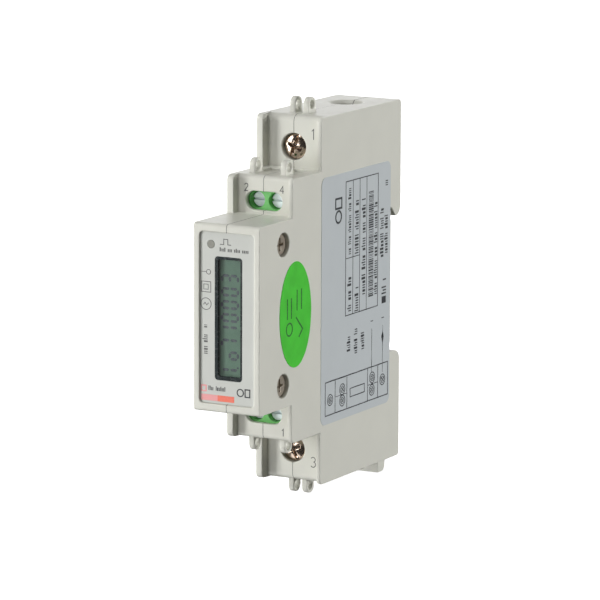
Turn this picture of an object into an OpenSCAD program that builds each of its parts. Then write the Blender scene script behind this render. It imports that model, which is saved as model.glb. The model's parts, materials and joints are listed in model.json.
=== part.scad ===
// Single-phase energy meter, one rail module wide.
// Millimetres. Origin: centre of the rail seat. +X across the width, +Y towards the
// rail, +Z up. Depths are counted from the bezel's front and turned into Y by dy().

/* [Body] */
// Width over both shells, one rail module
module_w = 18; // [17.6:0.1:18.4]
// Height of the body between the terminal ends
body_h = 90; // [88:0.5:92]
// Height of the front block that carries the display
front_h = 45.4; // [44:0.1:46]
// Height over the small-terminal steps
small_h = 64.1; // [63:0.1:65]
// Depth from the bezel's front to the rail seat
seat_depth = 67.1; // [67:0.1:69]
// Depth of the legs behind the rail seat
leg_depth = 5.1; // [5:0.1:6]
// Depth of the small step's side walls
small_step_d = 16; // [15.5:0.1:16.5]
// Depth of the main step's side walls
main_step_d = 30.5; // [30:0.1:31]
// Thickness of the side walls
wall = 1.8; // [1.6:0.1:2]

/* [Front panel] */
// Width of the recess that holds the panel
panel_w = 14.7; // [14:0.1:15]
// Height of the recess that holds the panel
panel_h = 41.3; // [41:0.1:42]
// Depth of the panel's face behind the bezel
panel_d = 0.5; // [0.4:0.1:1]
// Width of the display frame
lcd_frame_w = 7.4; // [7:0.1:8]
// Height of the display frame
lcd_frame_h = 29.7; // [29:0.1:30.5]
// Sideways place of the display frame
lcd_x = 0.3; // [0:0.1:0.6]

/* [Terminals] */
// Height of the main screws from the middle
main_z = 37.2; // [36.8:0.1:37.6]
// Radius of the main screw's head
main_head_r = 3.1; // [3:0.1:3.4]
// Radius of the main screw's thread
main_thread_r = 2.45; // [2.4:0.01:2.46]
// Travel of the main clamp
main_travel = 6; // [5:0.5:6]
// Height of the small screws from the middle
small_z = 25.9; // [25.7:0.1:26.2]
// Distance between the two small screws
small_pitch = 5.08; // [5:0.01:5.08]
// Radius of the small screw's head
small_head_r = 1.8; // [1.7:0.05:1.85]
// Travel of the small clamps
small_travel = 2; // [1.6:0.1:2]

/* [Rail clip] */
// Height of the clip's nose above the rail's lower edge
nose_grip = 1.6; // [1.4:0.1:1.8]
// Length of the tab below the body
tab_l = 3.9; // [2.5:0.1:4]
// Turns of the clip's spring
spring_turns = 6; // [5:1:7]

/* [Hidden] */
$fn = 48;
eps = 0.01;

half_w = module_w / 2;
inner_x = half_w - wall;
body_z = body_h / 2;
front_z = front_h / 2;
step_z = small_h / 2;
back_d = seat_depth + leg_depth;

// The steps' faces reach closer to the right side than to the left
recess_x = [-7.1, 7.8];

// Bezel, steps and cavities, as depths
bezel_floor_d = panel_d + 0.8;
front_cavity_d = bezel_floor_d + 1.4;
small_face_d = small_step_d + 2;
small_cavity_d = small_face_d + 1.4;
main_face_d = main_step_d + 2.5;
main_cavity_d = main_face_d + 1.6;
seat_wall_d = seat_depth - 1.8;
seat_relief = 0.3;
shell_wall = 1.6;

// Rail legs
rail_h = 35;
hook_top_z = 18.4;
hook_lip_z = 16.1;
hook_lip_d = seat_depth + 2.3;
leg_top_z = -17.9;
seat_z = 15.5;

// Sealing ears
ear_t = 1.6;
ear_hole_r = 1.1;
main_ear = [1.85, 38.05, 47.05, -0.3];
small_ear = [4.25, 21.8, 33.9, 0];
ear_r = 1.85;

// Case screws, as depth and height
case_screw_at = [[11.7, 16.9], [11.75, -17.2]];
case_head_r = 2.6;
case_bore_r = 2.9;
case_shank_r = 1.2;
boss_r = 4;
case_head_x = half_w - 1;

// Main terminal, as depths
head_seat_d = 36.3;
dome_r = 6.2;
cross_turn = 22;
collar_d = 38;
screw_tip_d = 54.1;
bus_d = 54.4;
bus_t = 2;
clamp_d = collar_d + 0.4 + main_travel;
clamp_l = 20;
clamp_front = 3;
clamp_back = 1.5;
clamp_half_h = 3.9;
clamp_x = 6.6;
clamp_open_x = 5;
wire_d = 59.8;
wire_r = 3.5;
funnel_r = 4.4;
funnel_depth = 0.9;
wire_land_z = 41.6;

// Small terminal, as depths
block_d = 19.6;
block_back_d = 32;
block_z = [21.9, 30.3];
well_floor_d = 22.3;
chamber_d = 23.2;
small_head_d = 20.9;
small_tip_d = 27;
small_thread_r = 1.25;
tongue_d = 27.3;
tongue_t = 0.6;
pin_slot_z = [small_z - 3.25, small_z - 2.3];
small_clamp_d = chamber_d + 0.4 + small_travel;
small_clamp_l = 5.3;
small_wire_d = 29.1;
small_wire_r = 1.4;
slot_l = 9.9;
slot_h = 4.6;

// Boards
board_x = -6.4;
board_t = 1.6;
board_face_x = board_x + board_t;
board_front_d = 9.4;
board_back_d = 62;
board_step_d = 34;
display_board_d = 6.1;
pin_pitch = 2.54;

// Rail clip, as depths and heights
clip_d = [66.3, 70];
clip_x = 6.2;
clip_shoulder_z = leg_top_z - 0.4;
nose_z = -rail_h / 2 + nose_grip;
window_z = [-38, -24];
window_x = 2.6;
rib_z = [-37.5, -35];
rib_x = 1.6;
spring_r = 1.6;
spring_wire_r = 0.25;

plastic = [0.80, 0.80, 0.76];
nickel = [0.72, 0.68, 0.62];
steel = [0.78, 0.80, 0.82];
copper = [0.80, 0.48, 0.30];
green_plastic = [0.30, 0.58, 0.30];
board_green = [0.10, 0.38, 0.20];

// Depth behind the bezel turned into the model's Y
function dy(d) = d - seat_depth;

// A box from its ranges in X, depth and Z
module block(x, d, z)
  translate([x[0], dy(d[0]), z[0]]) cube([x[1] - x[0], d[1] - d[0], z[1] - z[0]]);

// Rods along each axis
module rod_x(d, z, r, x0, x1)
  translate([x0, dy(d), z]) rotate([0, 90, 0]) cylinder(r = r, h = x1 - x0);
module rod_y(x, z, r, d0, d1)
  translate([x, dy(d0), z]) rotate([-90, 0, 0]) cylinder(r = r, h = d1 - d0);
module rod_z(x, d, r, z0, z1)
  translate([x, dy(d), z0]) cylinder(r = r, h = z1 - z0);

// Outlines drawn in depth and height, swept across the width
module along_x(x0, x1)
  translate([x0, 0, 0]) rotate([90, 0, 90]) linear_extrude(x1 - x0) children();
// Outlines drawn in X and Z, swept along the depth
module along_y(d0, d1)
  translate([0, dy(d1), 0]) rotate([90, 0, 0]) linear_extrude(d1 - d0) children();

module area(d, z) translate([dy(d[0]), z[0]]) square([d[1] - d[0], z[1] - z[0]]);

module rounded(w, h, r) {
  square([w - 2 * r, h], center = true);
  square([w, h - 2 * r], center = true);
  for (sx = [-1, 1], sy = [-1, 1])
    translate([sx * (w / 2 - r), sy * (h / 2 - r)]) circle(r);
}

// What a rounded corner takes away; the material lies towards (sd, sz)
module corner_waste(d, z, r, sd, sz)
  translate([dy(d), z]) mirror([sd < 0 ? 1 : 0, 0]) mirror([0, sz < 0 ? 1 : 0])
    difference() {
      translate([-eps, -eps]) square(r + eps);
      translate([r, r]) circle(r);
    }

module top_and_bottom() {
  children();
  mirror([0, 0, 1]) children();
}

// Side silhouette of the closed body
module body_outline() difference() {
  union() {
    area([0, seat_depth], [-front_z, front_z]);
    area([small_step_d, seat_depth], [-step_z, step_z]);
    area([main_step_d, seat_depth], [-body_z, body_z]);
    polygon([[dy(seat_depth) - 1, hook_top_z], [0.4, hook_top_z],
      [dy(hook_lip_d), hook_lip_z], [leg_depth, hook_lip_z], [leg_depth, body_z],
      [-1, body_z]]);
    area([seat_depth - 1, back_d], [-body_z, leg_top_z]);
  }
  for (s = [-1, 1]) {
    corner_waste(0, s * front_z, 0.9, 1, -s);
    corner_waste(small_step_d, s * step_z, 1.5, 1, -s);
    corner_waste(main_step_d, s * body_z, 1.5, 1, -s);
    corner_waste(back_d, s * body_z, 1, -1, -s);
  }
  corner_waste(back_d, hook_lip_z, 2.4, -1, 1);
  corner_waste(back_d, leg_top_z, 2.6, -1, -1);
  // relief that leaves the seat standing proud between the hook and the clip
  area([seat_depth - seat_relief, seat_depth + eps], [seat_z, hook_top_z]);
  area([seat_depth - seat_relief, seat_depth + eps], [leg_top_z, -seat_z]);
}

// Hollow inside the shells
module cavity_outline() {
  area([front_cavity_d, seat_wall_d], [-front_z + shell_wall, front_z - shell_wall]);
  area([small_cavity_d, seat_wall_d], [-step_z + shell_wall, step_z - shell_wall]);
  area([main_cavity_d, seat_wall_d - 0.5], [-body_z + shell_wall, body_z - shell_wall]);
  area([seat_wall_d - 1, back_d - 1.8], [hook_top_z + 1.8, body_z - shell_wall]);
}

module ear(at)
  for (s = [-1, 1]) translate([at[3] + s * at[0] - ear_t / 2, 0, 0]) difference() {
    union() {
      rod_x(at[1], at[2], ear_r, 0, ear_t);
      block([0, ear_t], [at[1] - ear_r, at[1] + ear_r], [at[2] - 3, at[2]]);
    }
    rod_x(at[1], at[2], ear_hole_r, -1, ear_t + 1);
  }

// Face between the side walls of a step, rounded at its outer edge
module step_recess(wall_d, face_d, z0, z1, r)
  along_x(recess_x[0], recess_x[1]) {
    area([wall_d - 1, face_d], [z0, z1 + 1]);
    difference() {
      area([face_d - eps, face_d + r], [z1 - r, z1 + 1]);
      translate([dy(face_d + r), z1 - r]) circle(r);
      area([face_d + r - eps, face_d + r + 1], [z1 - r, z1]);
    }
  }

// Funnel in the end face that leads a wire into the main clamp, and the land below it
module wire_land()
  block([-inner_x, inner_x], [wire_d - 6, wire_d + 6], [wire_land_z, body_z - 1]);

module wire_funnel() {
  rod_z(0, wire_d, wire_r, wire_land_z - 1, body_z + 1);
  translate([0, dy(wire_d), body_z - funnel_depth])
    cylinder(r1 = wire_r, r2 = funnel_r, h = funnel_depth + eps);
}

// Entry for the small wires in the small step's end face
module small_entries()
  for (s = [-1, 1]) {
    rod_z(s * small_pitch / 2, small_wire_d, small_wire_r, block_z[1] - 1, step_z + 1);
    block(s > 0 ? [1, 5.3] : [-5.3, -1], [24.3, main_step_d + 1], [step_z - 0.9, step_z + 1]);
  }

// Front slot over the small screws
module screw_slot()
  along_y(small_step_d - 1, small_cavity_d + 1) translate([0.1, small_z]) {
    square([slot_l - slot_h, slot_h], center = true);
    for (s = [-1, 1]) translate([s * (slot_l - slot_h) / 2, 0]) circle(slot_h / 2);
  }

module clip_channel()
  block([-clip_x - 0.3, clip_x + 0.3], [clip_d[0] - 0.2, clip_d[1] + 0.3],
    [-body_z - 1, leg_top_z + 1]);

module boss_at(p) rod_x(p[0], p[1], boss_r, -half_w + 1, half_w - 1);

// Both shells as one hollow body
module body_shells() {
  difference() {
    union() {
      difference() {
        along_x(-half_w, half_w) body_outline();
        along_x(-inner_x, inner_x) cavity_outline();
      }
      for (p = case_screw_at) boss_at(p);
      top_and_bottom() {
        ear(main_ear);
        ear(small_ear);
        intersection() {
          wire_land();
          along_x(-half_w, half_w) body_outline();
        }
        rod_y(0, main_z, 5, main_face_d + 0.5, collar_d);
      }
    }
    // bezel recess, display and light-pipe openings
    along_y(-1, bezel_floor_d) rounded(panel_w, panel_h, 1);
    along_y(0, front_cavity_d + 1) translate([lcd_x, 0]) square([10.4, 33], center = true);
    rod_y(-4.45, 17.65, 1.05, 0, front_cavity_d + 1);
    top_and_bottom() {
      step_recess(small_step_d, small_face_d, front_z, step_z, 1.2);
      step_recess(main_step_d, main_face_d, step_z, body_z, 1.8);
      rod_y(0, main_z, main_head_r + 0.2, main_step_d, head_seat_d);
      rod_y(0, main_z, main_thread_r + 0.35, main_step_d, collar_d + 1);
      wire_funnel();
      small_entries();
      screw_slot();
    }
    for (p = case_screw_at) {
      rod_x(p[0], p[1], case_bore_r, case_head_x - 1.8, half_w + 1);
      rod_x(p[0], p[1], case_shank_r + 0.3, 0, half_w);
      rod_x(p[0], p[1], case_shank_r + eps, -inner_x + 0.8, 1);
    }
    clip_channel();
  }
  // post that the clip's spring stands on
  block([-rib_x, rib_x], [clip_d[0] - 0.3, clip_d[1] + 0.4], rib_z);
}

// The left shell keeps the whole rail seat, so the seam runs beside it
module seam_side(left)
  if (left) {
    block([-half_w - 1, 0], [-2, back_d + 2], [-body_z - 10, body_z + 10]);
    block([-1, inner_x], [seat_wall_d, seat_depth + 1], [-seat_z - 0.2, seat_z + 0.2]);
  } else difference() {
    block([0, half_w + 1], [-2, back_d + 2], [-body_z - 10, body_z + 10]);
    block([-1, inner_x], [seat_wall_d, seat_depth + 1], [-seat_z - 0.2, seat_z + 0.2]);
  }

module housing_left() color(plastic) intersection() {
  body_shells();
  seam_side(true);
}

module housing_right() color(plastic) intersection() {
  body_shells();
  seam_side(false);
}

module front_panel() color([0.84, 0.84, 0.82]) difference() {
  along_y(panel_d, bezel_floor_d) rounded(panel_w - 0.1, panel_h - 0.1, 0.95);
  along_y(0, 3) translate([lcd_x, 0]) rounded(lcd_frame_w, lcd_frame_h, 0.8);
  rod_y(-4.45, 17.65, 1, 0, 3);
}

module display_frame() color([0.10, 0.12, 0.12]) difference() {
  along_y(panel_d - 0.05, bezel_floor_d) translate([lcd_x, 0])
    rounded(lcd_frame_w, lcd_frame_h, 0.8);
  along_y(0, 3) translate([lcd_x + 0.2, 0.15]) rounded(lcd_frame_w - 1.4, lcd_frame_h - 1.6, 0.5);
}

module display_window() color([0.8, 0.9, 0.9, 0.4])
  along_y(panel_d + 0.1, bezel_floor_d) translate([lcd_x + 0.2, 0.15])
    rounded(lcd_frame_w - 1.4, lcd_frame_h - 1.6, 0.5);

module lcd_glass() color([0.45, 0.55, 0.48])
  block([lcd_x - 5, lcd_x + 5], [bezel_floor_d + 0.1, 4.1], [-16.3, 16.3]);

module lcd_backlight() color([0.92, 0.93, 0.90])
  block([lcd_x - 4.8, lcd_x + 4.8], [4.1, display_board_d], [-15.8, 15.8]);

module display_board() color(board_green) difference() {
  block([-6.9, 6.9], [display_board_d, display_board_d + 1.2], [-20.4, 20.4]);
  for (i = [0:7]) rod_y(board_face_x + 0.3, (i - 3.5) * pin_pitch, 0.45, 5, 8);
}

module light_pipe() color([0.95, 0.85, 0.8, 0.6]) rod_y(-4.45, 17.65, 0.95, panel_d, 5.2);

module pulse_led() color([0.85, 0.2, 0.15])
  block([-5.25, -3.65], [5.3, display_board_d], [17.2, 18.1]);

// Pins from the display board to the main board, in their spacer
module board_header() color([0.15, 0.15, 0.16]) {
  for (i = [0:7])
    block([board_face_x, board_face_x + 0.6], [display_board_d, 13.4],
      [(i - 3.5) * pin_pitch - 0.3, (i - 3.5) * pin_pitch + 0.3]);
  block([board_face_x, board_face_x + 2.5], [7.5, 9.9], [-4 * pin_pitch, 4 * pin_pitch]);
}

module main_board() color(board_green) difference() {
  along_x(board_x, board_face_x) {
    area([board_front_d, board_step_d + 1], [-20.4, 20.4]);
    area([board_step_d, board_back_d], [-30, 30]);
  }
  for (p = case_screw_at) rod_x(p[0], p[1], boss_r + 0.3, board_x - 1, board_face_x + 1);
  for (s = [-1, 1]) rod_x(bus_d + bus_t / 2, s * 6, 0.5, board_x - 1, board_face_x + 1);
}

// A flat chip with two rows of legs, standing on the main board
module chip(d, z, body, legs, pitch, leg_w) {
  block([board_face_x + 0.2, board_face_x + 0.2 + body[0]], [d - body[1] / 2, d + body[1] / 2],
    [z - body[2] / 2, z + body[2] / 2]);
  for (i = [0:legs - 1], s = [-1, 1])
    translate([0, 0, z + (i - (legs - 1) / 2) * pitch])
      block([board_face_x, board_face_x + 0.7], s > 0 ? [d + body[1] / 2, d + body[1] / 2 + 0.8]
        : [d - body[1] / 2 - 0.8, d - body[1] / 2], [-leg_w / 2, leg_w / 2]);
}

module metering_chip() color([0.12, 0.12, 0.13]) chip(50.5, -15, [2.2, 4.6, 10.2], 8, 1.27, 0.4);

module controller_chip() color([0.12, 0.12, 0.13]) chip(24.5, -8, [1.4, 7, 7], 12, 0.5, 0.25);

module crystal() color(steel) intersection() {
  block([board_face_x, board_face_x + 3.4], [16, 20.6], [-4, 7]);
  union() {
    block([board_face_x, 9], [16, 20.6], [-1.7, 4.7]);
    for (z = [-1.7, 4.7]) rod_x(18.3, z, 2.3, board_face_x, 9);
  }
}

module supply_capacitor() color([0.90, 0.75, 0.25])
  block([board_face_x, board_face_x + 10.5], [36, 43], [-9, 9]);

module smoothing_capacitors() color([0.14, 0.16, 0.22])
  for (z = [12, 2.5]) difference() {
    rod_x(29, z, 4, board_face_x, board_face_x + 10.8);
    for (a = [-1, 1]) translate([board_face_x + 10.8, dy(29), z]) rotate([45 * a, 0, 0])
      cube([0.4, 7, 0.3], center = true);
  }

module varistor() color([0.20, 0.35, 0.70]) {
  translate([board_face_x + 6.2, dy(47.5), 17.5]) rotate([90, 0, 0])
    cylinder(r = 5.5, h = 4, center = true);
  for (s = [-1, 1]) rod_x(47.5 + s * 1.2, 17.5 + s * 2.5, 0.4, board_face_x, board_face_x + 3);
}

module fuse_resistor() color([0.25, 0.55, 0.35]) {
  rod_y(board_face_x + 2.4, 25.5, 2.2, 38, 48);
  for (d = [37.4, 48.6]) rod_x(d, 25.5, 0.35, board_face_x, board_face_x + 2.75);
  for (d = [[37.1, 38.2], [47.8, 48.9]]) rod_y(board_face_x + 2.4, 25.5, 0.35, d[0], d[1]);
}

module optocouplers() color([0.12, 0.12, 0.13]) {
  chip(39.5, -25.5, [3.4, 4.6, 4.6], 2, 2.54, 0.5);
  chip(39.5, -16.5, [3.4, 4.6, 4.6], 2, 2.54, 0.5);
}

// Resistive strip between the two busbars, with its two sense pins
module shunt() color([0.70, 0.62, 0.55]) {
  difference() {
    block([-4, 4], [bus_d, bus_d + bus_t], [-9, 9]);
    for (s = [-1, 1]) rod_y(s * 4.6, 0, 2.4, bus_d - 1, bus_d + bus_t + 1);
  }
  for (s = [-1, 1]) rod_x(bus_d + bus_t / 2, s * 6, 0.4, board_x - 0.6, -3.9);
}

module busbar() color(copper) difference() {
  block([-4, 4], [bus_d, bus_d + bus_t], [9, main_z + clamp_half_h - 0.8]);
  rod_y(0, 26, 1.6, bus_d - 1, bus_d + bus_t + 1);
}
module busbar_top() busbar();
module busbar_bottom() mirror([0, 0, 1]) busbar();

// Main screw: domed head with a cross and a slot, held by its collar
module main_screw() color(nickel) translate([0, 0, main_z]) {
  difference() {
    intersection() {
      rod_y(0, 0, main_head_r, main_face_d + 0.1, head_seat_d - 0.1);
      translate([0, dy(main_face_d + 0.1) + dome_r, 0]) sphere(r = dome_r, $fn = 64);
    }
    rotate([0, cross_turn, 0]) {
      block([-0.45, 0.45], [main_step_d, main_face_d + 1.3], [-5, 5]);
      block([-2, 2], [main_step_d, main_face_d + 2], [-0.45, 0.45]);
      block([-0.45, 0.45], [main_step_d, main_face_d + 2], [-2, 2]);
    }
  }
  rod_y(0, 0, main_thread_r, head_seat_d - 0.1 - eps, screw_tip_d);
}
module main_screw_top() main_screw();
module main_screw_bottom() mirror([0, 0, 1]) main_screw();

// Box clamp: threaded front wall, open at both ends for the busbar and the wire
module main_clamp() color(steel) translate([0, 0, main_z]) difference() {
  block([-clamp_x, clamp_x], [clamp_d, clamp_d + clamp_l], [-clamp_half_h, clamp_half_h]);
  block([-clamp_open_x, clamp_open_x], [clamp_d + clamp_front, clamp_d + clamp_l - clamp_back],
    [-clamp_half_h - 1, clamp_half_h + 1]);
  rod_y(0, 0, main_thread_r + 0.05, clamp_d - 1, clamp_d + clamp_front + 1);
}
module main_clamp_top() main_clamp();
module main_clamp_bottom() mirror([0, 0, 1]) main_clamp();

// Two-pole block for the signal wires
module terminal_block() color(green_plastic) difference() {
  block([-small_pitch, small_pitch], [block_d, block_back_d], block_z);
  for (s = [-1, 1]) translate([s * small_pitch / 2, 0, 0]) {
    rod_y(0, small_z, small_head_r + 0.2, block_d - 1, well_floor_d);
    rod_y(0, small_z, small_thread_r + 0.15, block_d, chamber_d + 1);
    block([-2.05, 2.05], [chamber_d, block_back_d - 0.8], [small_z - 3.4, small_z + 2.9]);
    rod_z(0, small_wire_d, small_wire_r + 0.2, small_z + 2.5, block_z[1] + 1);
    block([-0.6, 0.6], [block_back_d - 2, block_back_d + 1], pin_slot_z);
  }
}
module terminal_block_top() terminal_block();
module terminal_block_bottom() mirror([0, 0, 1]) terminal_block();

module terminal_board() color(board_green) difference() {
  block([board_face_x, 7], [block_back_d + 0.1, block_back_d + 1.3], [20.9, 30.2]);
  for (s = [-1, 1])
    block([s * small_pitch / 2 - 0.6, s * small_pitch / 2 + 0.6], [31, 35], pin_slot_z);
}
module terminal_board_top() terminal_board();
module terminal_board_bottom() mirror([0, 0, 1]) terminal_board();

// Contact tongues of the small terminals, bent back to their boards
module terminal_pins() color(steel) top_and_bottom()
  for (s = [-1, 1]) translate([s * small_pitch / 2, 0, 0]) {
    block([-1, 1], [tongue_d, tongue_d + tongue_t], [small_z - 3.1, small_z + 2]);
    block([-0.5, 0.5], [tongue_d, block_back_d + 2], [small_z - 3.1, small_z - 2.5]);
  }

module small_screw(x) color(steel) translate([x, 0, small_z]) difference() {
  union() {
    rod_y(0, 0, small_head_r, small_head_d, well_floor_d - 0.1);
    rod_y(0, 0, small_thread_r, well_floor_d - 0.2, small_tip_d);
  }
  block([-2, 2], [small_head_d - 1, small_head_d + 0.7], [-0.25, 0.25]);
}
module small_screw_tl() small_screw(-small_pitch / 2);
module small_screw_tr() small_screw(small_pitch / 2);
module small_screw_bl() mirror([0, 0, 1]) small_screw(-small_pitch / 2);
module small_screw_br() mirror([0, 0, 1]) small_screw(small_pitch / 2);

module small_clamp(x) color(steel) translate([x, 0, small_z]) difference() {
  block([-1.85, 1.85], [small_clamp_d, small_clamp_d + small_clamp_l], [-2.2, 2.4]);
  block([-1.4, 1.4], [small_clamp_d + 1.1, small_clamp_d + small_clamp_l - 0.6], [-4, 4]);
  rod_y(0, 0, small_thread_r + 0.05, small_clamp_d - 1, small_clamp_d + 2);
}
module small_clamp_tl() small_clamp(-small_pitch / 2);
module small_clamp_tr() small_clamp(small_pitch / 2);
module small_clamp_bl() mirror([0, 0, 1]) small_clamp(-small_pitch / 2);
module small_clamp_br() mirror([0, 0, 1]) small_clamp(small_pitch / 2);

// Cross-head screws that hold the shells together
module case_screws() color(nickel)
  for (p = case_screw_at) difference() {
    union() {
      rod_x(p[0], p[1], case_head_r, case_head_x - 1.8, case_head_x);
      rod_x(p[0], p[1], case_shank_r, -inner_x + 1.2, case_head_x - 1.7);
    }
    for (s = [[1.6, 0.3], [0.3, 1.6]])
      block([case_head_x - 1, case_head_x + 1], [p[0] - s[0], p[0] + s[0]],
        [p[1] - s[1], p[1] + s[1]]);
  }

// Sliding latch: nose behind the rail's lower edge, tab below the body
module rail_clip() color(plastic) difference() {
  union() {
    along_x(-clip_x, clip_x) difference() {
      area(clip_d, [-body_z - tab_l, clip_shoulder_z]);
      corner_waste(clip_d[1], -body_z - tab_l, 1.6, -1, 1);
      corner_waste(clip_d[0], clip_shoulder_z, 0.6, 1, -1);
    }
    along_x(-clip_x, clip_x) polygon([[1.25, clip_shoulder_z - 1], [1.25, nose_z - 0.4],
      [1.65, nose_z], [dy(clip_d[1]) - 0.6, nose_z - 0.5],
      [dy(clip_d[1]) - 0.2, clip_shoulder_z - 1]]);
  }
  block([-window_x, window_x], [clip_d[0] - 1, clip_d[1] + 1], window_z);
}

// Round wire wound as a helix, with flat closed ends
module clip_spring() color(steel) {
  steps = 16 * spring_turns;
  sides = 8;
  z0 = rib_z[1] + spring_wire_r;
  rise = window_z[1] - rib_z[1] - 2 * spring_wire_r;
  points = [for (i = [0:steps], k = [0:sides - 1])
    let (a = 360 * i / 16, b = 360 * k / sides, r = spring_r + spring_wire_r * cos(b))
    [r * cos(a), dy(68.2) + r * sin(a), z0 + rise * i / steps + spring_wire_r * sin(b)]];
  walls = [for (i = [0:steps - 1], k = [0:sides - 1])
    let (n = (k + 1) % sides, p = i * sides)
    [p + k, p + k + sides, p + n + sides, p + n]];
  polyhedron(points, concat(walls, [[for (k = [0:sides - 1]) k],
    [for (k = [sides - 1:-1:0]) steps * sides + k]]));
}

module side_label() color([0.72, 0.74, 0.78])
  along_x(half_w, half_w + 0.1) translate([dy(48.5), 0]) rounded(36, 60.8, 2);

module oval_sticker() color([0.25, 0.75, 0.25])
  along_x(half_w, half_w + 0.12) translate([dy(17.5), -0.7])
    polygon([for (a = [0:5:355]) [7.85 * cos(a), 12.85 * sin(a)]]);

housing_left();
housing_right();
front_panel();
display_frame();
display_window();
lcd_glass();
lcd_backlight();
display_board();
light_pipe();
pulse_led();
board_header();
main_board();
metering_chip();
controller_chip();
crystal();
supply_capacitor();
smoothing_capacitors();
varistor();
fuse_resistor();
optocouplers();
shunt();
busbar_top();
busbar_bottom();
main_screw_top();
main_screw_bottom();
main_clamp_top();
main_clamp_bottom();
terminal_block_top();
terminal_block_bottom();
terminal_board_top();
terminal_board_bottom();
terminal_pins();
small_screw_tl();
small_screw_tr();
small_screw_bl();
small_screw_br();
small_clamp_tl();
small_clamp_tr();
small_clamp_bl();
small_clamp_br();
case_screws();
rail_clip();
clip_spring();
side_label();
oval_sticker();
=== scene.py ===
"""Looks of the one-module energy meter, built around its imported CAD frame.

+X runs across the width, +Y towards the rail and +Z up, in metres. Numbers in
millimetres are multiplied by MM where they are used.
"""

import json
import math
import random

import bmesh
import bpy
from mathutils import Matrix, Vector

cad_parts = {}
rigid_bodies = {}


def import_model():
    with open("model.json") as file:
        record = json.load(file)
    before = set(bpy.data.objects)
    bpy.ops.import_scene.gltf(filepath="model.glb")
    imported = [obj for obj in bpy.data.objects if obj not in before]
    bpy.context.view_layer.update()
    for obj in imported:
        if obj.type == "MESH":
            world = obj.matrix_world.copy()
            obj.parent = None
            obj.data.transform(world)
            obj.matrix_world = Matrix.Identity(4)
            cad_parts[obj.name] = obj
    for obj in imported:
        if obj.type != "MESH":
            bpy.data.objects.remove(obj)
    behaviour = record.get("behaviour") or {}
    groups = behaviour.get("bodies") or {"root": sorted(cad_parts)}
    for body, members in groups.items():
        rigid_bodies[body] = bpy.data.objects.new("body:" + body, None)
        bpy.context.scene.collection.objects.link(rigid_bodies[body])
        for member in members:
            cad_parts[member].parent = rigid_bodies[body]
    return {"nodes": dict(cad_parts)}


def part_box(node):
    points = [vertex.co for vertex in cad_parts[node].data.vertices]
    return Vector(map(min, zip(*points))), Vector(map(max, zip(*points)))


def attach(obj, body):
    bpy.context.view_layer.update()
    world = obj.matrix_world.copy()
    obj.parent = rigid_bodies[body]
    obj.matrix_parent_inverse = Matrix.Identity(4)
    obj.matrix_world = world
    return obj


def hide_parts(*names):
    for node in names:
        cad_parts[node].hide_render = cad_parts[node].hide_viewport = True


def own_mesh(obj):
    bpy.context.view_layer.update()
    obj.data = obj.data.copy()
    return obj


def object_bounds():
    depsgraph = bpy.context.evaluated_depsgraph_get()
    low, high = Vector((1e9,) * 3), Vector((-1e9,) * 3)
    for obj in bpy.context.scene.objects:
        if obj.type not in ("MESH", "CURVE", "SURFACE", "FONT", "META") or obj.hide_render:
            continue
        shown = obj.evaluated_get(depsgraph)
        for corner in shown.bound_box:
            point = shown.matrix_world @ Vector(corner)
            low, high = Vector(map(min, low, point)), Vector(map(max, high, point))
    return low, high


MM = 0.001
for old in list(bpy.data.objects):
    bpy.data.objects.remove(old)

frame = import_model()
nodes = frame["nodes"]
cad_box = [list(corner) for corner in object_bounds()]

# Y of the bezel, from which the depths below are counted
FRONT_Y_MM = cad_box[0][1] / MM
# vertices this close are one
WELD_MM = 0.002


# ---------------------------------------------------------------- camera and light

CAMERA_AZIMUTH = 28.49
CAMERA_ELEVATION = 10.03
CAMERA_ROLL = 0.233
CAMERA_DISTANCE = 1.0836
CAMERA_TARGET = Vector((0.22, -31.04, -0.81)) * MM
CAMERA_LENS = 267.3
FLOOR_SIZE = 12
FLOOR_GAP_MM = 0.5


def direction(azimuth, elevation):
    """Unit vector from the object towards a viewer: azimuth 0 is in front, 90 on the right."""
    a, e = math.radians(azimuth), math.radians(elevation)
    return Vector((math.sin(a) * math.cos(e), -math.cos(a) * math.cos(e), math.sin(e)))


def add_camera():
    camera = bpy.data.objects.new("camera", bpy.data.cameras.new("camera"))
    bpy.context.scene.collection.objects.link(camera)
    back = direction(CAMERA_AZIMUTH, CAMERA_ELEVATION)
    turn = (-back).to_track_quat("-Z", "Y").to_matrix()
    roll = Matrix.Rotation(math.radians(CAMERA_ROLL), 3, "Z")
    place = Matrix.Translation(CAMERA_TARGET + back * CAMERA_DISTANCE)
    camera.matrix_world = place @ (turn @ roll).to_4x4()
    camera.data.lens = CAMERA_LENS
    camera.data.clip_end = 10
    bpy.context.scene.camera = camera


def add_lamp(name, azimuth, elevation, distance, size, power, height=None):
    """A soft lamp aimed at the object: a disc, or a rectangle where it has a height."""
    lamp = bpy.data.objects.new(name, bpy.data.lights.new(name, "AREA"))
    bpy.context.scene.collection.objects.link(lamp)
    towards = direction(azimuth, elevation)
    lamp.location = CAMERA_TARGET + towards * distance
    lamp.rotation_euler = (-towards).to_track_quat("-Z", "Y").to_euler()
    lamp.data.shape = "RECTANGLE" if height else "DISK"
    lamp.data.size = size
    if height:
        lamp.data.size_y = height
    lamp.data.energy = power


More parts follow.
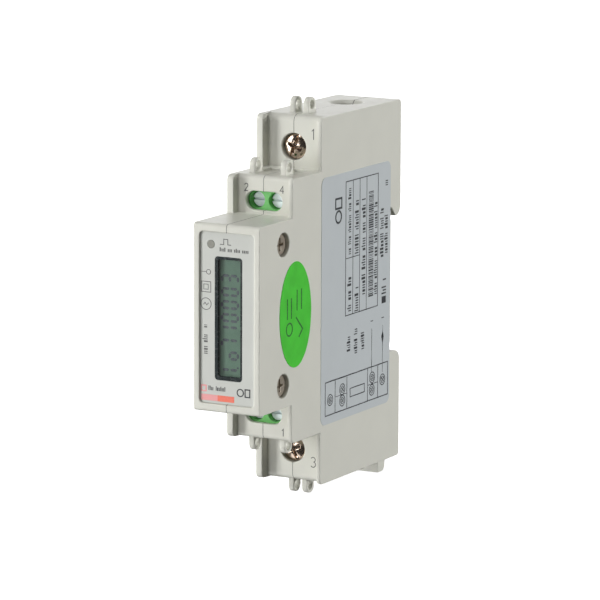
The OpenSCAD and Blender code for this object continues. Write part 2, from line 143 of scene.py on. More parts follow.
def add_lights():
    scene = bpy.context.scene
    scene.view_settings.view_transform = "Standard"
    world = bpy.data.worlds.new("studio")
    world.use_nodes = True
    sky = world.node_tree.nodes["Background"]
    sky.inputs["Color"].default_value = (1, 1, 1, 1)
    sky.inputs["Strength"].default_value = 0.04
    scene.world = world
    add_lamp("key", -54, 2, 1.2, 0.35, 14.5, height=1.3)
    add_lamp("front_fill", -14, 2, 1.2, 0.4, 2.6)
    add_lamp("right_fill", 106, 5, 1.2, 0.4, 11)
    add_lamp("top_fill", -10, 72, 1.2, 0.8, 5)
    add_lamp("floor_bounce", -27, -52, 1.2, 0.9, 3.5)
    add_lamp("back_card", 205, 22, 1.4, 1.2, 5)


def add_floor():
    low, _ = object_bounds()
    bpy.ops.mesh.primitive_plane_add(
        size=FLOOR_SIZE, location=(0, 0, low.z - FLOOR_GAP_MM * MM)
    )
    floor = bpy.context.object
    floor.name = "floor"
    paper = bpy.data.materials.new("floor_paper")
    paper.use_nodes = True
    shader = paper.node_tree.nodes["Principled BSDF"]
    shader.inputs["Base Color"].default_value = (0.92, 0.92, 0.92, 1)
    shader.inputs["Roughness"].default_value = 0.9
    shader.inputs["Emission Color"].default_value = (1, 1, 1, 1)
    shader.inputs["Emission Strength"].default_value = 0.85
    floor.data.materials.append(paper)
    # its bounce would light the shaded recesses from below
    floor.visible_diffuse = False
    floor.visible_glossy = False
    floor.visible_shadow = False


# ---------------------------------------------------------------- materials


def linear(red, green, blue):
    """A linear colour from display values 0 to 255."""
    return tuple(
        c / 12.92 if c <= 0.04045 else ((c + 0.055) / 1.055) ** 2.4
        for c in (red / 255, green / 255, blue / 255)
    ) + (1,)


def darkened(colour, share):
    return tuple(c * share for c in colour[:3]) + (1,)


class Finish:
    """A Principled material with patterns in object coordinates."""

    def __init__(self, name, colour, roughness, metallic=0.0, **sockets):
        self.material = bpy.data.materials.new(name)
        self.material.use_nodes = True
        self.tree = self.material.node_tree
        self.shader = self.tree.nodes["Principled BSDF"]
        self.colour = colour
        self.shader.inputs["Base Color"].default_value = colour
        self.shader.inputs["Roughness"].default_value = roughness
        self.shader.inputs["Metallic"].default_value = metallic
        for socket, value in sockets.items():
            self.shader.inputs[socket.replace("_", " ")].default_value = value
        self.place = self.tree.nodes.new("ShaderNodeTexCoord").outputs["Object"]

    def link(self, output, to_input):
        self.tree.links.new(output, to_input)

    def stretched(self, scale):
        """Object coordinates scaled per axis, for brushed or drawn surfaces."""
        mapping = self.tree.nodes.new("ShaderNodeMapping")
        mapping.inputs["Scale"].default_value = scale
        self.link(self.place, mapping.inputs["Vector"])
        return mapping.outputs["Vector"]

    def noise(self, size_mm, place=None):
        node = self.tree.nodes.new("ShaderNodeTexNoise")
        node.inputs["Scale"].default_value = 1 / (size_mm * MM)
        node.inputs["Detail"].default_value = 3
        self.link(place or self.place, node.inputs["Vector"])
        return node.outputs["Fac"]

    def between(self, factor, low, high, start=0.3, end=0.7):
        """A factor mapped from start..end to low..high."""
        node = self.tree.nodes.new("ShaderNodeMapRange")
        node.inputs["From Min"].default_value = start
        node.inputs["From Max"].default_value = end
        node.inputs["To Min"].default_value = low
        node.inputs["To Max"].default_value = high
        self.link(factor, node.inputs["Value"])
        return node.outputs["Result"]

    def mottle(self, size_mm, other, start=0.35, end=0.65, place=None):
        """Patches of another colour over the base colour."""
        node = self.tree.nodes.new("ShaderNodeMix")
        node.data_type = "RGBA"
        node.inputs[6].default_value = self.colour
        node.inputs[7].default_value = other
        factor = self.noise(size_mm, place=place)
        self.link(self.between(factor, 0, 1, start, end), node.inputs["Factor"])
        self.link(node.outputs[2], self.shader.inputs["Base Color"])

    def uneven_gloss(self, size_mm, low, high, place=None):
        factor = self.noise(size_mm, place=place)
        self.link(self.between(factor, low, high), self.shader.inputs["Roughness"])

    def grain(self, size_mm, height_mm, place=None):
        bump = self.tree.nodes.new("ShaderNodeBump")
        bump.inputs["Distance"].default_value = height_mm * MM
        self.link(self.noise(size_mm, place=place), bump.inputs["Height"])
        self.link(bump.outputs["Normal"], self.shader.inputs["Normal"])


def moulded(name, colour, roughness, spread=0.94):
    """Injection-moulded plastic with a fine spark-eroded texture."""
    finish = Finish(name, colour, roughness, IOR=1.46)
    finish.mottle(9, darkened(colour, spread))
    finish.uneven_gloss(1.2, roughness - 0.05, roughness + 0.07)
    finish.grain(0.16, 0.012)
    return finish.material


def plated(name, colour, roughness, axis_scale=(1, 1, 1), metallic=1.0):
    """Plated or rolled metal, with drawn marks along the axis of the smaller scale."""
    finish = Finish(name, colour, roughness, metallic)
    place = finish.stretched(axis_scale)
    finish.mottle(0.9, darkened(colour, 0.92), place=place)
    finish.uneven_gloss(0.5, max(0.1, roughness - 0.04), roughness + 0.08, place=place)
    finish.grain(0.3, 0.0012, place=place)
    return finish.material


def glossy(name, colour, roughness, **sockets):
    """Smooth plastic, film or lacquer."""
    finish = Finish(name, colour, roughness, **sockets)
    finish.mottle(4, darkened(colour, 0.88))
    finish.uneven_gloss(0.8, max(0.03, roughness - 0.04), roughness + 0.05)
    finish.grain(0.5, 0.003)
    return finish.material


def ink(name, colour, roughness=0.5):
    """Printed ink, a little uneven in cover."""
    finish = Finish(name, colour, roughness)
    paler = tuple(c + (0.5 - c) * 0.12 for c in colour[:3]) + (1,)
    finish.mottle(0.4, paler, 0.45, 0.75)
    return finish.material


BODY = moulded("body_plastic", linear(220, 220, 210), 0.34, 0.975)
PANEL = moulded("panel_film", linear(204, 206, 200), 0.5, 0.97)
FRAME_BLACK = glossy("frame_black", linear(38, 46, 47), 0.25)
WINDOW = glossy("window_clear", linear(235, 242, 238), 0.05, Alpha=0.03, Specular_IOR_Level=0.2)
LCD = glossy("lcd_cell", linear(70, 108, 86), 0.35)
LCD_DARK = ink("lcd_segments", linear(14, 36, 48))
DIFFUSER = glossy("diffuser_milky", linear(240, 242, 236), 0.4)
LIGHT_PIPE = glossy("light_pipe_tinted", linear(146, 146, 137), 0.3)
LED = glossy("led_lens", linear(205, 60, 50), 0.15)
SOLDER_MASK = glossy("solder_mask", linear(30, 98, 58), 0.3)
HEADER_BLACK = moulded("header_black", linear(40, 40, 43), 0.5)
EPOXY = moulded("epoxy_black", linear(30, 30, 32), 0.55)
CAN = plated("can_steel", linear(205, 207, 210), 0.25)
FILM_CAP = glossy("film_capacitor", linear(226, 188, 62), 0.3)
SLEEVE = glossy("electrolytic_sleeve", linear(34, 40, 58), 0.28)
VARISTOR = glossy("varistor_epoxy", linear(44, 92, 168), 0.3)
RESISTOR = glossy("resistor_lacquer", linear(98, 150, 116), 0.35)
SHUNT_ALLOY = plated("shunt_alloy", linear(176, 158, 138), 0.35, (1, 1, 0.15))
COPPER = plated("copper_strip", linear(206, 138, 102), 0.3, (1, 1, 0.15))
NICKEL = plated("nickel_plate", linear(196, 178, 162), 0.16)
DULL_NICKEL = plated("dull_nickel", linear(170, 160, 145), 0.34, metallic=0.5)
ZINC = plated("zinc_plate", linear(196, 200, 204), 0.32, (1, 0.2, 1))
# zinc plate with a painted reflection: a near-white, bluish base colour and little metal make
# the small screws look bright, like the bright backdrop they mirror
ZINC_WITH_PAINTED_REFLECTION = plated("zinc_painted_reflection", linear(242, 248, 254), 0.36, metallic=0.25)
GREEN_NYLON = glossy("green_nylon", linear(118, 204, 112), 0.34)
SPRING_STEEL = plated("spring_steel", linear(170, 172, 176), 0.3)
LABEL = moulded("label_film", linear(198, 204, 206), 0.42, 0.98)
STICKER = glossy("sticker_green", linear(80, 210, 62), 0.38)
INK_GREY = ink("ink_grey", linear(92, 92, 90))
INK_DARK = ink("ink_dark", linear(44, 46, 50))
INK_RED = ink("ink_red", linear(240, 116, 92))
INK_PINK = ink("ink_pink", linear(236, 160, 160))
INK_GREEN = ink("ink_green", linear(24, 92, 32))
# painted shade: the dark seam sheet stands in for the shadow inside the joint, which the closed
# shells don't cast
SEAM_SHADE_SHEET = ink("seam_shadow", linear(96, 96, 90), 0.9)

NODE_FINISH = {
    "housing_left": BODY,
    "housing_right": BODY,
    "rail_clip": BODY,
    "front_panel": PANEL,
    "display_frame": FRAME_BLACK,
    "display_window": WINDOW,
    "lcd_glass": LCD,
    "lcd_backlight": DIFFUSER,
    "display_board": SOLDER_MASK,
    "light_pipe": LIGHT_PIPE,
    "pulse_led": LED,
    "board_header": HEADER_BLACK,
    "main_board": SOLDER_MASK,
    "terminal_board_top": SOLDER_MASK,
    "terminal_board_bottom": SOLDER_MASK,
    "metering_chip": EPOXY,
    "controller_chip": EPOXY,
    "optocouplers": EPOXY,
    "crystal": CAN,
    "supply_capacitor": FILM_CAP,
    "smoothing_capacitors": SLEEVE,
    "varistor": VARISTOR,
    "fuse_resistor": RESISTOR,
    "shunt": SHUNT_ALLOY,
    "busbar_top": COPPER,
    "busbar_bottom": COPPER,
    "main_screw_top": NICKEL,
    "main_screw_bottom": NICKEL,
    "case_screws": DULL_NICKEL,
    "main_clamp_top": ZINC,
    "main_clamp_bottom": ZINC,
    "terminal_pins": ZINC,
    "terminal_block_top": GREEN_NYLON,
    "terminal_block_bottom": GREEN_NYLON,
    "clip_spring": SPRING_STEEL,
    "side_label": LABEL,
    "oval_sticker": STICKER,
}
SMALL_PLACES = ("tl", "tr", "bl", "br")
for place in SMALL_PLACES:
    NODE_FINISH["small_screw_" + place] = ZINC_WITH_PAINTED_REFLECTION
    NODE_FINISH["small_clamp_" + place] = ZINC


# ---------------------------------------------------------------- flat prints

PRINT_PROUD_MM = 0.03
PRINT_SUNK_MM = 0.03
# mitred corners reach no further than half the line's width over this
MITRE_LIMIT = 0.4

# blocks that stand for writing, as shares of the height of their line
BLOCK_WIDTHS = (0.16, 0.16, 0.32)
BLOCK_HEIGHTS = (0.72, 0.72, 1)
BLOCK_GAP = 0.17
WORD_GAP = 0.5
# least and most blocks in a word
WORD_BLOCKS = (3, 8)
# which way a line of writing reads
ACROSS, UPWARDS = False, True


def circle(u, v, radius, sides):
    turn = [2 * math.pi * i / sides for i in range(sides)]
    return [(u + radius * math.cos(a), v + radius * math.sin(a)) for a in turn]


def arc(u, v, radius, first, last):
    """Points on an arc; angles in degrees, anticlockwise from the u axis."""
    steps = 12
    turn = [math.radians(first + (last - first) * i / steps) for i in range(steps + 1)]
    return [(u + radius * math.cos(a), v + radius * math.sin(a)) for a in turn]


def faces_out(mesh):
    bmesh.ops.recalc_face_normals(mesh, faces=mesh.faces)


def piece_from(mesh, name, finish):
    """A new object from a bmesh, riding on the meter's body."""
    data = bpy.data.meshes.new(name)
    mesh.to_mesh(data)
    mesh.free()
    piece = bpy.data.objects.new(name, data)
    bpy.context.scene.collection.objects.link(piece)
    data.materials.append(finish)
    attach(piece, "meter")
    return piece


class Print:
    """Thin closed prisms of ink on a flat face, drawn in millimetres u and v along it."""

    def __init__(self, place):
        self.place = place
        self.mesh = bmesh.new()

    def layer(self, outline, height):
        return [self.mesh.verts.new(self.place(u, v, height) * MM) for u, v in outline]

    def polygon(self, outline):
        low = self.layer(outline, -PRINT_SUNK_MM)
        high = self.layer(outline, PRINT_PROUD_MM)
        self.mesh.faces.new(high)
        self.mesh.faces.new(low[::-1])
        for i in range(len(outline)):
            j = (i + 1) % len(outline)
            self.mesh.faces.new((low[i], low[j], high[j], high[i]))

    def bar(self, u0, u1, v0, v1):
        self.polygon([(u0, v0), (u1, v0), (u1, v1), (u0, v1)])

    def frame(self, u0, u1, v0, v1, width):
        self.stroke([(u0, v0), (u1, v0), (u1, v1), (u0, v1)], width, closed=True)

    def stroke(self, points, width, closed=False):
        """A line of even width with mitred corners."""
        count = len(points)
        left, right = [], []
        for i, point in enumerate(points):
            here = Vector(point)
            back = here - Vector(points[i - 1]) if closed or i else None
            after = Vector(points[(i + 1) % count])
            ahead = after - here if closed or i < count - 1 else None
            steps = [step for step in (back, ahead) if step]
            sides = [Vector((-step.y, step.x)).normalized() for step in steps]
            middle = sum(sides, Vector((0, 0))).normalized()
            reach = width / 2 / max(MITRE_LIMIT, middle.dot(sides[0]))
            left.append(here + middle * reach)
            right.append(here - middle * reach)
        corners = [
            self.layer(line, height)
            for line in (left, right)
            for height in (-PRINT_SUNK_MM, PRINT_PROUD_MM)
        ]
        left_low, left_high, right_low, right_high = corners
        around = (left_low, left_high, right_high, right_low)
        for i in range(count if closed else count - 1):
            j = (i + 1) % count
            for a, b in zip(around, around[1:] + around[:1]):
                self.mesh.faces.new((a[i], a[j], b[j], b[i]))
        if not closed:
            for i in (0, count - 1):
                self.mesh.faces.new([line[i] for line in around])

    def ring(self, u, v, radius, width, sides=40):
        self.stroke(circle(u, v, radius, sides), width, closed=True)

    def disc(self, u, v, radius, sides=32):
        self.polygon(circle(u, v, radius, sides))

    def cross(self, u, v, reach, width):
        """Two strokes at 45 degrees to u and v."""
        for a in (math.pi / 4, math.pi * 3 / 4):
            step = Vector((math.cos(a), math.sin(a))) * reach
            self.stroke([(u - step.x, v - step.y), (u + step.x, v + step.y)], width)

    def words(self, upwards, start, end, middle, height, seed):
        """A line of writing shown only as small blocks, with no letters in it."""
        draw = random.Random(seed)
        at = start
        left_in_word = draw.randint(*WORD_BLOCKS)
        while at + height * WORD_GAP <= end:
            if left_in_word == 0:
                at += height * WORD_GAP
                left_in_word = draw.randint(*WORD_BLOCKS)
                continue
            wide = height * draw.choice(BLOCK_WIDTHS)
            low = middle - height / 2
            high = low + height * draw.choice(BLOCK_HEIGHTS)
            if upwards:
                # the tops of the line are towards smaller u
                self.bar(middle * 2 - high, middle * 2 - low, at, at + wide)
            else:
                self.bar(at, at + wide, low, high)
            at += wide + height * BLOCK_GAP
            left_in_word -= 1

    def numeral(self, character, u, v, height, width):
        """A plain digit centred on u, v."""
        scale = height / 2
        for line in NUMERALS[character]:
            self.stroke([(u + a * scale, v + b * scale) for a, b in line], width)

    def done(self, name, finish):
        faces_out(self.mesh)
        piece_from(self.mesh, name, finish)


# lines of each digit in a box from -1 to 1
NUMERALS = {
    "1": [[(-0.3, 0.6), (0.1, 1), (0.1, -1)]],
    "2": [arc(0, 0.5, 0.5, 170, -40) + [(-0.5, -1), (0.55, -1)]],
    "3": [arc(0, 0.5, 0.48, 150, -75), arc(0, -0.46, 0.54, 80, -150)],
    "4": [[(0.3, -1), (0.3, 1), (-0.55, -0.35), (0.6, -0.35)]],
}


def at_depth(y_mm):
    """Place on a face that looks to the front, at a given Y: u is X and v is Z."""
    return lambda u, v, height: Vector((u, y_mm - height, v))


def on_front(node):
    """Place on the flat front of a CAD node."""
    return at_depth(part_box(node)[0].y / MM)


def on_side(node):
    """Place on the right-hand face of a CAD node: u is the depth behind the bezel, v is Z."""
    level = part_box(node)[1].x / MM
    return lambda u, v, height: Vector((level + height, FRONT_Y_MM + u, v))


# ---------------------------------------------------------------- display

# lit segments of each character: a top, b c right, d bottom, e f left, g middle
SEGMENTS = {"0": "abcdef", "1": "bc", "3": "abcdg", "7": "abc", "o": "cdeg"}
DIGIT_TOP, DIGIT_MIDDLE, DIGIT_BOTTOM = -1.95, 0.2, 2.35
DIGIT_WIDTH = 1.6
DIGIT_PITCH = 3.1
READING = "710003"
READING_Z = -5.2
UNIT_Z = -8.1
TARIFF_Z = -12.3
TARIFF_DOT_Z = -11.7
SEGMENT_LINE = 0.66
SEGMENT_GAP = 0.14


def add_segment(sheet, start, end, width):
    """A six-sided liquid-crystal segment with pointed ends."""
    along = (end - start).normalized()
    across = Vector((-along.y, along.x)) * width / 2
    tip = along * width / 2
    upper = [start + tip + across, end - tip + across]
    lower = [end - tip - across, start + tip - across]
    sheet.polygon([start, *upper, end, *lower])


def add_digit(sheet, character, right_z):
    """The digits read upwards, so their tops point towards -X."""
    left_z = right_z - DIGIT_WIDTH
    lines = {
        "a": ((DIGIT_TOP, left_z), (DIGIT_TOP, right_z)),
        "b": ((DIGIT_TOP, right_z), (DIGIT_MIDDLE, right_z)),
        "c": ((DIGIT_MIDDLE, right_z), (DIGIT_BOTTOM, right_z)),
        "d": ((DIGIT_BOTTOM, left_z), (DIGIT_BOTTOM, right_z)),
        "e": ((DIGIT_MIDDLE, left_z), (DIGIT_BOTTOM, left_z)),
        "f": ((DIGIT_TOP, left_z), (DIGIT_MIDDLE, left_z)),
        "g": ((DIGIT_MIDDLE, left_z), (DIGIT_MIDDLE, right_z)),
    }
    for segment in SEGMENTS[character]:
        start, end = (Vector(point) for point in lines[segment])
        gap = (end - start).normalized() * SEGMENT_GAP
        add_segment(sheet, start + gap, end - gap, SEGMENT_LINE)


def add_display():
    sheet = Print(on_front("lcd_glass"))
    for i, character in enumerate(READING):
        add_digit(sheet, character, READING_Z + DIGIT_PITCH * i)
    add_digit(sheet, "o", UNIT_Z)
    add_digit(sheet, "1", TARIFF_Z)
    sheet.disc(DIGIT_BOTTOM, TARIFF_DOT_Z, radius=0.25)
    sheet.done("lcd_digits", LCD_DARK)


# ---------------------------------------------------------------- prints of the meter

# foot and head of the pulse sign
PULSE_LOW, PULSE_HIGH = 17.8, 19.1
# Z of the two halves of the coloured band under the display
BAND_Z = (-20.0, -18.55)


def add_panel_print():
    grey = Print(on_front("front_panel"))
    # pulse sign and the line of writing under it
    pulse = [(-2.0, PULSE_LOW), (-1.0, PULSE_LOW), (-1.0, PULSE_HIGH)]
    pulse += [(0.1, PULSE_HIGH), (0.1, PULSE_LOW), (1.0, PULSE_LOW)]
    grey.stroke(pulse, 0.17)
    grey.words(ACROSS, -2.1, 6.0, 16.6, 0.95, 3)
    # a line with a ring, a double square and a wave in a ring
    grey.stroke([(-7.0, 10.95), (-5.65, 10.95)], 0.14)
    grey.ring(-5.1, 10.95, 0.56, 0.14)
    grey.frame(-7.0, -4.5, 6.1, 8.6, 0.16)
    grey.frame(-6.4, -5.2, 6.75, 7.95, 0.14)
    grey.ring(-5.8, 3.25, 1.4, 0.16)
    grey.stroke([(-6.5, 3.0), (-6.05, 3.55), (-5.6, 2.95), (-5.1, 3.5)], 0.15)
    grey.words(UPWARDS, -8.8, -3.0, -6.05, 1.4, 8)
    grey.words(UPWARDS, -2.5, -1.3, -6.05, 1.1, 9)
    grey.done("panel_signs", INK_GREY)

    dark = Print(on_front("front_panel"))
    dark.words(ACROSS, -5.1, -0.1, -16.95, 1.1, 21)
    dark.ring(3.55, -17.4, 0.85, 0.28)
    dark.frame(4.85, 6.1, -18.3, -16.5, 0.28)
    dark.done("panel_marks", INK_DARK)

    red = Print(on_front("front_panel"))
    red.bar(-2.6, 1.9, *BAND_Z)
    red.done("panel_band_red", INK_RED)
    pink = Print(on_front("front_panel"))
    pink.bar(-7.1, -2.6, *BAND_Z)
    pink.frame(-7.0, -5.75, -17.75, -16.45, 0.34)
    pink.done("panel_band_pink", INK_PINK)


# Y of the faces between the side walls of the two steps
STEP_FACE_Y = {"main": FRONT_Y_MM + 33, "small": FRONT_Y_MM + 18}
NUMERAL_LINE = 0.2


def add_numerals():
    """Terminal numbers beside the screws, on the faces of the two steps."""
    for height, face, pairs in (
        (2.5, "main", (("1", 5.3, 40.5), ("3", 5.7, -40.0))),
        (1.75, "small", (("2", -4.7, 29.0), ("4", 5.0, 29.0), ("1", 5.5, -30.0))),
    ):
        sheet = Print(at_depth(STEP_FACE_Y[face]))
        for character, u, v in pairs:
            sheet.numeral(character, u, v, height, NUMERAL_LINE)
        sheet.done("numerals_" + face, INK_GREY)


# depths of the label's table and the Z of its ends
TABLE_DEPTHS = (42.9, 46.65, 50.2, 53.8, 59.8)
TABLE_Z = (-5.05, 28)
# the same of the terminal diagram below it
DIAGRAM_DEPTHS = (32.7, 37.8, 43.9, 54.8, 60.2, 65.5)
DIAGRAM_Z = (-28.25, -20)
SUPPLY_DEPTHS = (56.85, 62.65)
SUPPLY_TOP = -10.4
# bars and gaps of the bar code
CODE_BARS = (0.14, 0.14, 0.28, 0.4)
CODE_GAPS = (0.16, 0.16, 0.3)


def add_label_lines():
    """The table, and under it the diagram of the terminals."""
    thin = Print(on_side("side_label"))
    thin.frame(TABLE_DEPTHS[0], TABLE_DEPTHS[-1], *TABLE_Z, 0.24)
    for depth in TABLE_DEPTHS[1:-1]:
        thin.stroke([(depth, TABLE_Z[0]), (depth, TABLE_Z[1])], 0.2)
    # the first two columns are split
    thin.stroke([(TABLE_DEPTHS[0], 9.05), (TABLE_DEPTHS[2], 9.05)], 0.2)

    thin.frame(DIAGRAM_DEPTHS[0], DIAGRAM_DEPTHS[-1], *DIAGRAM_Z, 0.27)
    for depth in DIAGRAM_DEPTHS[1:-1]:
        thin.stroke([(depth, DIAGRAM_Z[0]), (depth, DIAGRAM_Z[1])], 0.22)
    # the display, and the screws as crosses in double rings
    thin.frame(45.6, 53.1, -25.6, -23.5, 0.24)
    left_screws = ((35.2, -24.6), (41.5, -23), (41.5, -25.8))
    right_screws = ((57.2, -22.7), (57.1, -25.8), (62.7, -24.1))
    for u, v in left_screws + right_screws:
        thin.ring(u, v, 1.35, 0.24, 32)
        thin.ring(u, v, 0.8, 0.18, 28)
        thin.cross(u, v, 0.75, 0.2)
    # what splits the cells of paired screws
    for cell in (DIAGRAM_DEPTHS[1:3], DIAGRAM_DEPTHS[3:5]):
        thin.stroke([(depth, -24.3) for depth in cell], 0.16)
    # the two lines of the supply
    for depth, low in zip(SUPPLY_DEPTHS, (-21.4, -22.3)):
        thin.stroke([(depth, SUPPLY_TOP), (depth, low)], 0.16)
    thin.done("label_lines", INK_DARK)


def add_label_writing():
    dark = Print(on_side("side_label"))
    # signs over the two lines of the supply, and the arrow on one of them
    dark.polygon([(62.65, -11.8), (63.25, -13.3), (62.65, -15), (62.05, -13.3)])
    dark.bar(56.2, 57.5, -8.6, -8.35)
    dark.bar(62.0, 63.3, -8.6, -8.35)
    # plain marks beside the table
    dark.frame(37.6, 40.7, 22, 24.4, 0.5)
    dark.ring(39.1, 19.9, 1.45, 0.5)
    # both ends, the depth, the height and the seed of each line of writing
    for start, end, depth, height, seed in (
        (9.9, 27, 44.85, 1.5, 31),
        (-4.2, 4.9, 44.85, 1.9, 32),
        (9.6, 23.4, 48.6, 1.9, 33),
        (-4.7, 2.3, 48.6, 1.9, 34),
        (-1.1, 23.8, 52.2, 1.9, 35),
        (-2.0, 21.8, 58.55, 1.7, 36),
        (6.8, 20.1, 61.85, 1.8, 37),
        (7.5, 18.7, 64.1, 1.7, 38),
        (24.4, 26.7, 64.1, 1.6, 39),
        (-14.1, -9.2, 44.6, 1.7, 40),
        (-15.2, -8.1, 48.3, 1.7, 41),
        (-14.7, -9.5, 51.9, 1.7, 42),
    ):
        dark.words(UPWARDS, start, end, depth, height, seed)
    dark.bar(62, 64.2, -4.9, -3.2)
    dark.words(UPWARDS, -2.6, 2.4, 63.1, 2.3, 43)
    # bar code made of random bars, which encodes nothing
    draw = random.Random(50)
    at = -2.2
    while at < 24.2:
        wide = draw.choice(CODE_BARS)
        dark.bar(54.9, 57.4, at, at + wide)
        at += wide + draw.choice(CODE_GAPS)
    dark.done("label_writing", INK_DARK)


def add_sticker_print():
    """A ring and a tick, each with two plain bars."""
    green = Print(on_side("oval_sticker"))
    green.ring(14.4, -3.9, 1.5, 0.36)
    green.stroke([(19.2, -6.4), (21.0, -4.6), (17.7, -1.4)], 0.4)
    for depth, low in ((13.2, -1.4), (15.2, -1.4), (18.0, 0.2), (20.2, 0.2)):
        green.bar(depth, depth + 0.4, low, low + 5)
    green.done("sticker_tick", INK_GREEN)


# ---------------------------------------------------------------- softened CAD nodes

# edges that turn by more than this are rounded, and shaded sharp past the second angle
ROUNDED_ANGLE = math.radians(32)
SHARP_ANGLE = math.radians(50)
FLAT_ANGLE = math.radians(1)
# edges with both ends this close to X = 0 lie in the seam, and take a share of the radius
SEAM_REACH_MM = 0.02
SEAM_SHARE = 0.4
# where the rounding of a step's face runs out beside its side walls, as Y and height
CUSPS_YZ_MM = [(STEP_FACE_Y["small"] + 1.2, 32.05), (STEP_FACE_Y["main"] + 1.8, 45)]
CUSP_REACH_MM = 0.5


def node_group(name):
    group = bpy.data.node_groups.new(name, "GeometryNodeTree")
    group.interface.new_socket("Geometry", in_out="INPUT", socket_type="NodeSocketGeometry")
    group.interface.new_socket("Geometry", in_out="OUTPUT", socket_type="NodeSocketGeometry")
    start = group.nodes.new("NodeGroupInput")
    end = group.nodes.new("NodeGroupOutput")
    return group, start.outputs[0], end.inputs[0]


def compared(group, value, operation, limit):
    node = group.nodes.new("FunctionNodeCompare")
    node.data_type = "FLOAT"
    node.operation = operation
    group.links.new(value, node.inputs["A"])
    node.inputs["B"].default_value = limit
    return node.outputs["Result"]


def both(group, first, second):
    node = group.nodes.new("FunctionNodeBooleanMath")
    node.operation = "AND"
    group.links.new(first, node.inputs[0])
    group.links.new(second, node.inputs[1])
    return node.outputs[0]


def bevel_weight_group():
    """Bevel weight 1 on edges to round, less along the seam, and 0 into a cusp."""
    group, geometry, result = node_group("bevel_weights")
    angle = group.nodes.new("GeometryNodeInputMeshEdgeAngle").outputs["Unsigned Angle"]
    rounded = compared(group, angle, "GREATER_THAN", ROUNDED_ANGLE)
    ends = group.nodes.new("GeometryNodeInputMeshEdgeVertices")
    in_seam = []
    for position in ("Position 1", "Position 2"):
        size = group.nodes.new("ShaderNodeVectorMath")
        size.operation = "ABSOLUTE"
        group.links.new(ends.outputs[position], size.inputs[0])
        parts = group.nodes.new("ShaderNodeSeparateXYZ")
        group.links.new(size.outputs[0], parts.inputs[0])
        in_seam.append(compared(group, parts.outputs["X"], "LESS_THAN", SEAM_REACH_MM * MM))
        # the plane of the cusps: only the distance in Y and Z counts
        upright = group.nodes.new("ShaderNodeCombineXYZ")
        group.links.new(parts.outputs["Y"], upright.inputs["Y"])
        group.links.new(parts.outputs["Z"], upright.inputs["Z"])
        for depth, height in CUSPS_YZ_MM:
            gap = group.nodes.new("ShaderNodeVectorMath")
            gap.operation = "DISTANCE"
            group.links.new(upright.outputs[0], gap.inputs[0])
            gap.inputs[1].default_value = (0, abs(depth) * MM, height * MM)
            far = compared(group, gap.outputs["Value"], "GREATER_THAN", CUSP_REACH_MM * MM)
            rounded = both(group, rounded, far)
    seam = both(group, *in_seam)
    weight = group.nodes.new("ShaderNodeMapRange")
    weight.inputs["To Min"].default_value = 1.0
    weight.inputs["To Max"].default_value = SEAM_SHARE
    group.links.new(seam, weight.inputs["Value"])
    store = group.nodes.new("GeometryNodeStoreNamedAttribute")
    store.domain = "EDGE"
    store.data_type = "FLOAT"
    store.inputs["Name"].default_value = "bevel_weight_edge"
    group.links.new(geometry, store.inputs["Geometry"])
    group.links.new(rounded, store.inputs["Selection"])
    group.links.new(weight.outputs["Result"], store.inputs["Value"])
    group.links.new(store.outputs["Geometry"], result)
    return group


def smooth_shading_group():
    """Smooth faces, with the edges left sharp that turn by more than SHARP_ANGLE."""
    group, geometry, result = node_group("smooth_by_angle")
    faces = group.nodes.new("GeometryNodeSetShadeSmooth")
    group.links.new(geometry, faces.inputs["Geometry"])
    angle = group.nodes.new("GeometryNodeInputMeshEdgeAngle").outputs["Unsigned Angle"]
    edges = group.nodes.new("GeometryNodeSetShadeSmooth")
    edges.domain = "EDGE"
    group.links.new(faces.outputs["Geometry"], edges.inputs["Geometry"])
    sharp = compared(group, angle, "GREATER_THAN", SHARP_ANGLE)
    group.links.new(sharp, edges.inputs["Selection"])
    edges.inputs["Shade Smooth"].default_value = False
    group.links.new(edges.outputs["Geometry"], result)
    return group


BEVEL_WEIGHTS = bevel_weight_group()
SMOOTH_SHADING = smooth_shading_group()


def add_group(piece, name, group):
    modifier = piece.modifiers.new(name, "NODES")
    modifier.node_group = group


def soften(piece, radius_mm):
    """Rounds the sharp edges of a mesh of flat and round faces, and shades it smooth."""
    weld = piece.modifiers.new("weld", "WELD")
    weld.merge_threshold = WELD_MM * MM
    planar = piece.modifiers.new("planar", "DECIMATE")
    planar.decimate_type = "DISSOLVE"
    planar.angle_limit = FLAT_ANGLE
    add_group(piece, "bevel_weights", BEVEL_WEIGHTS)
    bevel = piece.modifiers.new("bevel", "BEVEL")
    bevel.width = radius_mm * MM
    bevel.segments = 2
    bevel.limit_method = "WEIGHT"
    bevel.use_clamp_overlap = False
    bevel.miter_outer = "MITER_SHARP"
    add_group(piece, "smooth_by_angle", SMOOTH_SHADING)
    normals = piece.modifiers.new("flat_faces", "WEIGHTED_NORMAL")
    normals.keep_sharp = True
    normals.weight = 80


SMALL_RADIUS_MM = 0.08
# nodes whose edges aren't rounded by the small radius
EDGE_RADIUS_MM = {
    "housing_left": 0.28,
    "housing_right": 0.28,
    "rail_clip": 0.25,
    "front_panel": 0.06,
    "display_window": 0.05,
    "lcd_backlight": 0.2,
    "light_pipe": 0.1,
    "pulse_led": 0.1,
    "supply_capacitor": 0.5,
    "crystal": 0.25,
    "varistor": 0.9,
    "fuse_resistor": 0.12,
    "smoothing_capacitors": 0.1,
    "metering_chip": 0.06,
    "controller_chip": 0.05,
    "terminal_block_top": 0.12,
    "terminal_block_bottom": 0.12,
    "side_label": 0.03,
    "oval_sticker": 0.03,
    "busbar_top": 0.15,
    "busbar_bottom": 0.15,
    "shunt": 0.1,
    "main_clamp_top": 0.3,
    "main_clamp_bottom": 0.3,
    "case_screws": 0.12,
}


def finish_nodes():
    for name, finish in NODE_FINISH.items():
        mesh = nodes[name].data
        mesh.materials.clear()
        mesh.materials.append(finish)
        soften(nodes[name], EDGE_RADIUS_MM.get(name, SMALL_RADIUS_MM))


# ---------------------------------------------------------------- spring and seam

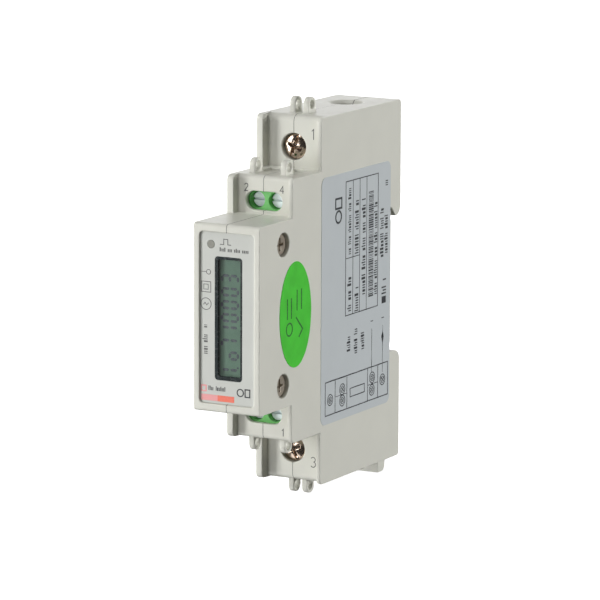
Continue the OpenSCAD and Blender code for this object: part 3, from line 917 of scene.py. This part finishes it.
SPRING_AXIS = Vector((0, FRONT_Y_MM + 68.2, 0))
SPRING_RADIUS = 1.6
SPRING_WIRE_RADIUS = 0.25
SPRING_TURNS = 6
SPRING_STEPS_PER_TURN = 28
SPRING_WIRE_SIDES = 10
# Z of the middle of the wire at its ends
SPRING_LOW, SPRING_HIGH = -34.75, -24.25
SEAM_HALF_MM = 0.06


def spring_hoop(step, rise, slope):
    """The wire's cross-section after a number of steps up the helix."""
    turn = 2 * math.pi * step / SPRING_STEPS_PER_TURN
    out = Vector((math.cos(turn), math.sin(turn), 0))
    ahead = Vector((-math.sin(turn), math.cos(turn), 0))
    up = Vector((0, 0, math.cos(slope))) - ahead * math.sin(slope)
    middle = SPRING_AXIS + out * SPRING_RADIUS + Vector((0, 0, SPRING_LOW + rise * step))
    turns = [2 * math.pi * k / SPRING_WIRE_SIDES for k in range(SPRING_WIRE_SIDES)]
    return [
        (middle + (out * math.cos(a) + up * math.sin(a)) * SPRING_WIRE_RADIUS) * MM
        for a in turns
    ]


def add_spring():
    """A smooth coil in place of the faceted one of the frame."""
    coil = bmesh.new()
    steps = SPRING_TURNS * SPRING_STEPS_PER_TURN
    rise = (SPRING_HIGH - SPRING_LOW) / steps
    slope = math.atan2(rise * SPRING_STEPS_PER_TURN, 2 * math.pi * SPRING_RADIUS)
    hoops = [
        [coil.verts.new(point) for point in spring_hoop(i, rise, slope)]
        for i in range(steps + 1)
    ]
    for here, there in zip(hoops, hoops[1:]):
        for k in range(SPRING_WIRE_SIDES):
            m = (k + 1) % SPRING_WIRE_SIDES
            coil.faces.new((here[k], here[m], there[m], there[k]))
    coil.faces.new(hoops[0])
    coil.faces.new(hoops[-1])
    faces_out(coil)
    # the cut ends of the wire stay flat
    for face in coil.faces:
        face.smooth = len(face.verts) == 4
    spring = piece_from(coil, "rail_spring", SPRING_STEEL)
    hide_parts("clip_spring")
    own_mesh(spring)


def add_seam():
    """A dark sheet in the joint between the half shells, painted shade for the gap between
    them: their contact face, made a little thick.
    """
    source = bmesh.new()
    source.from_mesh(nodes["housing_left"].data)
    bmesh.ops.remove_doubles(source, verts=source.verts, dist=WELD_MM * MM)
    others = [
        face
        for face in source.faces
        if face.normal.x < 0.99 or abs(face.calc_center_median().x) > SEAM_REACH_MM * MM
    ]
    bmesh.ops.delete(source, geom=others, context="FACES")
    # second layer and walls built in a fixed order, which an extrusion doesn't keep
    faces = [face.verts[:] for face in source.faces]
    rim = [edge.verts[:] for edge in source.edges if edge.is_boundary]
    bmesh.ops.translate(source, verts=source.verts, vec=(-SEAM_HALF_MM * MM, 0, 0))
    lift = Vector((2 * SEAM_HALF_MM * MM, 0, 0))
    raised = {vert: source.verts.new(vert.co + lift) for vert in source.verts[:]}
    for corners in faces:
        source.faces.new([raised[vert] for vert in corners])
    for a, b in rim:
        source.faces.new((a, b, raised[b], raised[a]))
    faces_out(source)
    piece_from(source, "shell_seam_shade", SEAM_SHADE_SHEET)


finish_nodes()
add_seam()
add_spring()
add_display()
add_panel_print()
add_numerals()
add_label_lines()
add_label_writing()
add_sticker_print()

add_camera()
add_lights()
add_floor()
